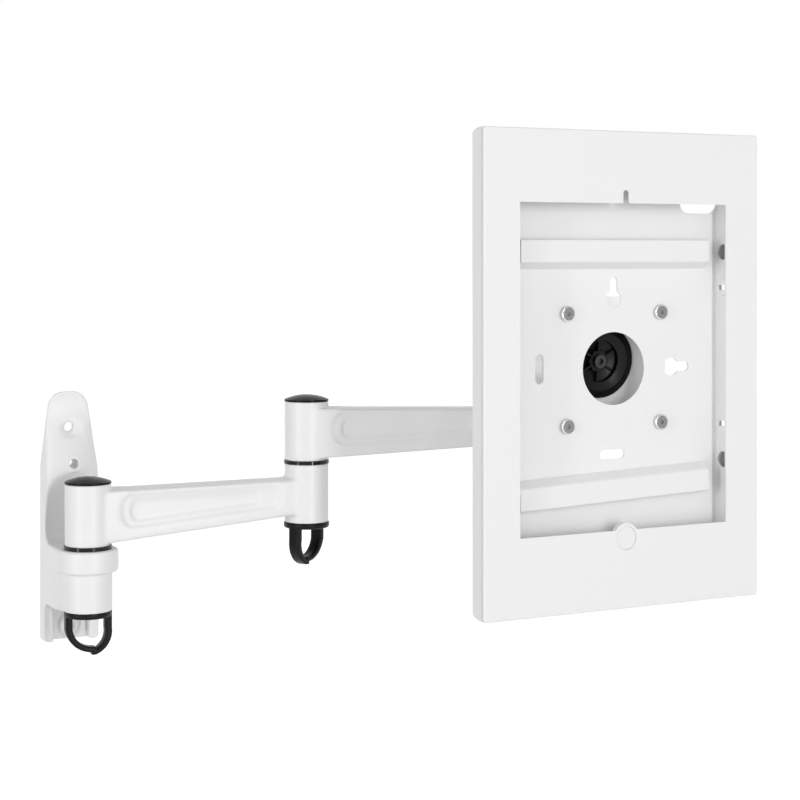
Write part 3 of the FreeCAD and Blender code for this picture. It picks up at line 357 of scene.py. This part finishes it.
def bump_between(values, low, rise, high, fall):
    """0 below low, 1 from low + rise to high - fall, 0 above high, with soft ends."""
    up = ramp(values, low, rise)
    down = np.clip((high - values) / fall, 0, 1)
    step = np.minimum(up, down)
    return step * step * (3 - 2 * step)


# Castings


def trim_foot_boss(piece):
    """The boss round the foot's screw hole, narrower and lower as in the photograph."""
    points = places(piece.data)
    offset = points[:, [0, 2]] - np.array((0.0, FOOT_HOLE_Z))
    radius = np.hypot(offset[:, 0], offset[:, 1])
    boss = (radius < BOSS_R) & (points[:, 1] < -FOOT_FLOOR)
    slim_radius = BOSS_BORE_R + (radius - BOSS_BORE_R) * BOSS_WIDTH_KEPT
    slimmer = np.where(boss & (radius > BOSS_BORE_R), slim_radius / np.maximum(radius, 1), 1)
    lower = -FOOT_FLOOR + (points[:, 1] + FOOT_FLOOR) * BOSS_HEIGHT_KEPT
    points[:, 0] = offset[:, 0] * slimmer
    points[:, 2] = FOOT_HOLE_Z + offset[:, 1] * slimmer
    points[:, 1] = np.where(boss, lower, points[:, 1])
    move_to(piece.data, points)


def round_crown(points):
    """The plate's top corners drop a little, as the photograph's rounder crown does."""
    x, z = points[:, 0], points[:, 2]
    corner = ramp(np.abs(x), CROWN_FLAT, CROWN_SPAN) ** 2
    points[:, 2] = z - CROWN_DROP * corner * ramp(z, CROWN_Z, CROWN_RISE)
    return points


def near_barrel(points, pivot, towards, low_z, high_z):
    """Weights for the skin where a beam runs into a barrel."""
    ahead = (towards - pivot).normalized()
    offset = points[:, :2] - np.array(pivot)
    along = offset @ np.array(ahead)
    outside = ramp(np.hypot(offset[:, 0], offset[:, 1]), *OFF_BARREL)
    rise = bump_between(
        points[:, 2], low_z + BLEND_INSET, BLEND_RISE, high_z - BLEND_INSET, BLEND_RISE)
    return bump_between(along, *BLEND_ALONG) * outside * rise


def arm_melt(inner, outer, inner_z, outer_z):
    """Weights for an arm: both barrels' blends, and its hollows' edges and fading end."""
    ahead = (outer - inner).normalized()
    length = (outer - inner).length
    middle_z = (sum(inner_z) / 2, sum(outer_z) / 2)

    def weights(points):
        first = near_barrel(points, inner, outer, *inner_z)
        second = near_barrel(points, outer, inner, *outer_z)
        offset = points[:, :2] - np.array(inner)
        along = offset @ np.array(ahead)
        side = np.abs(offset @ np.array((-ahead.y, ahead.x)))
        upper = ramp(points[:, 2], np.interp(along, (0, length), middle_z), UPPER_EDGE_RISE)
        edges = bump_between(
            along, HOLLOW_START, HOLLOW_RISE, length - HOLLOW_STOP, HOLLOW_RISE)
        edges = edges * (LOWER_EDGE_WEIGHT + UPPER_EDGE_EXTRA * upper)
        end = bump_between(along, *HOLLOW_END) * HOLLOW_END_WEIGHT
        hollow = np.maximum(end, edges) * ramp(side, *OFF_MIDDLE)
        return np.maximum(np.maximum(first, second), hollow)
    return weights


def bracket_melt(points):
    """Weights for the scoop's upper edge and the blend between collar, hub and plate."""
    x, y, z = points.T
    clear_of_bore = ramp(np.hypot(x, y - WALL_PIVOT.y), *OFF_BORE)
    clear_of_hole = ramp(np.hypot(x, z - MIDDLE_HOLE_Z), *OFF_HOLE)
    scoop_top = bump_between(z, *SCOOP_TOP) * ramp(-y, *OFF_PLATE) * clear_of_hole
    shoulder = bump_between(z, *SHOULDER_UP) * bump_between(-y, *SHOULDER_OUT)
    return np.maximum(scoop_top, shoulder) * clear_of_bore


def recast(node, voxel, passes, melt=None, melt_passes=0, trim=None, sculpt=None):
    """The node's mesh as one soft-edged casting.

    trim changes the sharp mesh and sculpt moves the soft one's points. Where melt
    gives weight, the skin is smoothed melt_passes times more.
    """
    piece = copy_of(node)
    if trim:
        trim(piece)
    add_remesh(piece, voxel)
    bake(piece)
    points = places(piece.data)
    if sculpt:
        points = sculpt(points)
        move_to(piece.data, points)
    if melt:
        soften(piece, melt_passes, melt(points), "melt")
    soften(piece, passes)
    bake(piece)
    hand_over(piece, node, "white_casting")


def make_castings():
    recast("wall_bracket", BRACKET_VOXEL, CASTING_PASSES, bracket_melt, BRACKET_MELT_PASSES,
           trim_foot_boss, round_crown)
    lower = arm_melt(WALL_PIVOT, ELBOW_PIVOT, *LOWER_ARM_BARRELS)
    recast("lower_arm", ARM_VOXEL, CASTING_PASSES, lower, ARM_MELT_PASSES)
    upper = arm_melt(ELBOW_PIVOT, HEAD_PIVOT, *UPPER_ARM_BARRELS)
    recast("upper_arm", ARM_VOXEL, CASTING_PASSES, upper, ARM_MELT_PASSES)
    recast("head_knuckle", HEAD_VOXEL, HEAD_PASSES)


# Sheet, hoops and screws


def make_tray():
    """The tray with tight side bends; its top and bottom bends stay round."""
    piece = copy_of("rear_tray")
    points = places(piece.data)
    low = points.min(0)
    high = points.max(0)
    centre = (low + high) / 2
    side = np.sign(points[:, 0] - centre[0])
    across = TRAY_BEND_R - np.minimum(points[:, 0] - low[0], high[0] - points[:, 0])
    upright = TRAY_BEND_R - np.minimum(points[:, 2] - low[2], high[2] - points[:, 2])
    back = TRAY_BEND_R - (high[1] - points[:, 1])
    radius = np.sqrt(across ** 2 + back ** 2 + np.clip(upright, 0, None) ** 2)
    in_bend = (across > TRAY_BEND_EDGE) & (back > TRAY_BEND_EDGE)
    bent = in_bend & (radius > TRAY_BEND_R - TRAY_BEND_DEPTH)
    turn = np.arctan2(np.where(bent, back, 1), np.where(bent, across, 1))
    spread = np.cos(turn) ** TRAY_BEND_POWER + np.sin(turn) ** TRAY_BEND_POWER
    grow = np.where(bent, spread ** (-1 / TRAY_BEND_POWER) - 1, 0)
    points[:, 0] += side * across * grow
    points[:, 1] += back * grow
    move_to(piece.data, points)
    hand_over(piece, "rear_tray", "white_sheet", crease=TRAY_CREASE)


def make_rail(node):
    """A folded rail with round bends."""
    piece = copy_of(node)
    add_remesh(piece, FOLD_VOXEL)
    soften(piece, RAIL_PASSES)
    thin = piece.modifiers.new("thin", "DECIMATE")
    thin.ratio = RAIL_KEPT
    bake(piece)
    hand_over(piece, node, "white_sheet")


def make_hoop(node):
    """A cable hoop with soft moulded edges and full straps, and no lower than the solid."""
    piece = copy_of(node)
    low_z = places(piece.data).min(0)[2]
    add_remesh(piece, FOLD_VOXEL)
    fuller = piece.modifiers.new("fuller", "DISPLACE")
    fuller.strength = HOOP_FULLER * MM
    fuller.mid_level = 0
    soften(piece, HOOP_PASSES)
    bake(piece)
    points = places(piece.data)
    points[:, 2] = np.maximum(points[:, 2], low_z)
    move_to(piece.data, points)
    hand_over(piece, node, "black_matt")


def make_vesa_screws():
    """Pan heads with a painted shade ring round the socket: its front faces take a darker
    chrome that stands in for the shade in the recess.
    """
    piece = copy_of("vesa_screws")
    hand_over(piece, "vesa_screws", "bright_steel", crease=SCREW_CREASE)
    piece.data.materials.append(MATERIALS["socket_shade_chrome"])
    for face in piece.data.polygons:
        spot = face.center / MM
        across = abs(spot.x - PANEL_CENTRE_X) - SCREW_HALF_PITCH
        up = abs(spot.z - PANEL_CENTRE_Z) - SCREW_HALF_PITCH
        # painted shade: front faces near a socket take the darker chrome, for the shade in the
        # recess
        if face.normal.y < FRONTWARD and math.hypot(across, up) < SOCKET_REACH:
            face.material_index = 1


dress_cad_nodes()
make_castings()
make_tray()
make_rail("top_rail")
make_rail("bottom_rail")
make_hoop("wall_cable_hoop")
make_hoop("elbow_cable_hoop")
make_vesa_screws()


# Studio: floor, lamps and camera


def seen_directly(tree):
    """1 for rays from the camera and for those that metal or glass sends on."""
    path = tree.nodes.new("ShaderNodeLightPath")
    first = tree.nodes.new("ShaderNodeMath")
    first.operation = "MAXIMUM"
    second = tree.nodes.new("ShaderNodeMath")
    second.operation = "MAXIMUM"
    tree.links.new(path.outputs["Is Camera Ray"], first.inputs[0])
    tree.links.new(path.outputs["Is Glossy Ray"], first.inputs[1])
    tree.links.new(first.outputs["Value"], second.inputs[0])
    tree.links.new(path.outputs["Is Transmission Ray"], second.inputs[1])
    return second.outputs["Value"]


def floor_material():
    """A pale floor that looks near white and still takes the object's shadow."""
    material = bpy.data.materials.new("floor_white")
    material.use_nodes = True
    tree = material.node_tree
    tree.nodes.clear()
    out = tree.nodes.new("ShaderNodeOutputMaterial")
    pale = tree.nodes.new("ShaderNodeBsdfDiffuse")
    pale.inputs["Color"].default_value = FLOOR_COLOUR
    glow = tree.nodes.new("ShaderNodeEmission")
    lift = tree.nodes.new("ShaderNodeMath")
    lift.operation = "MULTIPLY"
    lift.inputs[1].default_value = FLOOR_GLOW
    both = tree.nodes.new("ShaderNodeAddShader")
    tree.links.new(seen_directly(tree), lift.inputs[0])
    tree.links.new(lift.outputs["Value"], glow.inputs["Strength"])
    tree.links.new(pale.outputs["BSDF"], both.inputs[0])
    tree.links.new(glow.outputs["Emission"], both.inputs[1])
    tree.links.new(both.outputs["Shader"], out.inputs["Surface"])
    return material


def make_floor():
    half = FLOOR_SIDE / 2
    mesh = bpy.data.meshes.new("floor")
    corners = [(-half, -half), (half, -half), (half, half), (-half, half)]
    mesh.from_pydata([(x, y, FLOOR_Z) for x, y in corners], [], [(0, 1, 2, 3)])
    floor = bpy.data.objects.new("floor", mesh)
    bpy.context.scene.collection.objects.link(floor)
    floor.data.materials.append(floor_material())


def make_world():
    """Soft light, weaker from straight above, and a white backdrop."""
    world = bpy.data.worlds.new("studio")
    bpy.context.scene.world = world
    world.use_nodes = True
    tree = world.node_tree
    tree.nodes.clear()
    out = tree.nodes.new("ShaderNodeOutputWorld")
    mix = tree.nodes.new("ShaderNodeMixShader")
    soft = tree.nodes.new("ShaderNodeBackground")
    seen = tree.nodes.new("ShaderNodeBackground")
    place = tree.nodes.new("ShaderNodeTexCoord")
    split = tree.nodes.new("ShaderNodeSeparateXYZ")
    span = tree.nodes.new("ShaderNodeMapRange")
    span.inputs["From Min"].default_value = 0.0
    span.inputs["From Max"].default_value = 1.0
    span.inputs["To Min"].default_value = WORLD_SIDE
    span.inputs["To Max"].default_value = WORLD_TOP
    tree.links.new(place.outputs["Generated"], split.inputs["Vector"])
    tree.links.new(split.outputs["Z"], span.inputs["Value"])
    tree.links.new(span.outputs["Result"], soft.inputs["Strength"])
    tree.links.new(seen_directly(tree), mix.inputs["Fac"])
    tree.links.new(soft.outputs["Background"], mix.inputs[1])
    tree.links.new(seen.outputs["Background"], mix.inputs[2])
    tree.links.new(mix.outputs["Shader"], out.inputs["Surface"])
    soft.inputs["Color"].default_value = WORLD_WHITE
    seen.inputs["Color"].default_value = WORLD_WHITE
    seen.inputs["Strength"].default_value = BACKDROP


def add_lamp(name, place, power):
    data = bpy.data.lights.new(name, "AREA")
    data.shape = "RECTANGLE"
    data.size, data.size_y = LAMP_SIZE
    data.energy = power
    lamp = bpy.data.objects.new(name, data)
    lamp.location = place
    lamp.rotation_euler = (Vector(LAMP_AIM) - Vector(place)).to_track_quat("-Z", "Y").to_euler()
    bpy.context.scene.collection.objects.link(lamp)


def make_camera():
    data = bpy.data.cameras.new("camera")
    data.lens = CAMERA_LENS
    data.sensor_width = SENSOR_WIDTH
    data.shift_y = (HORIZON_ROW - IMAGE_SIDE / 2) / IMAGE_SIDE
    data.clip_start = CLIP_START
    data.clip_end = CLIP_END
    camera = bpy.data.objects.new("camera", data)
    camera.location = CAMERA_PLACE
    camera.rotation_euler = (math.radians(90), 0, -CAMERA_YAW)
    bpy.context.scene.collection.objects.link(camera)
    bpy.context.scene.camera = camera


make_world()
make_floor()
for lamp_name, (lamp_place, lamp_power) in LAMPS.items():
    add_lamp(lamp_name, lamp_place, lamp_power)
make_camera()

bpy.context.scene.view_settings.view_transform = "Standard"
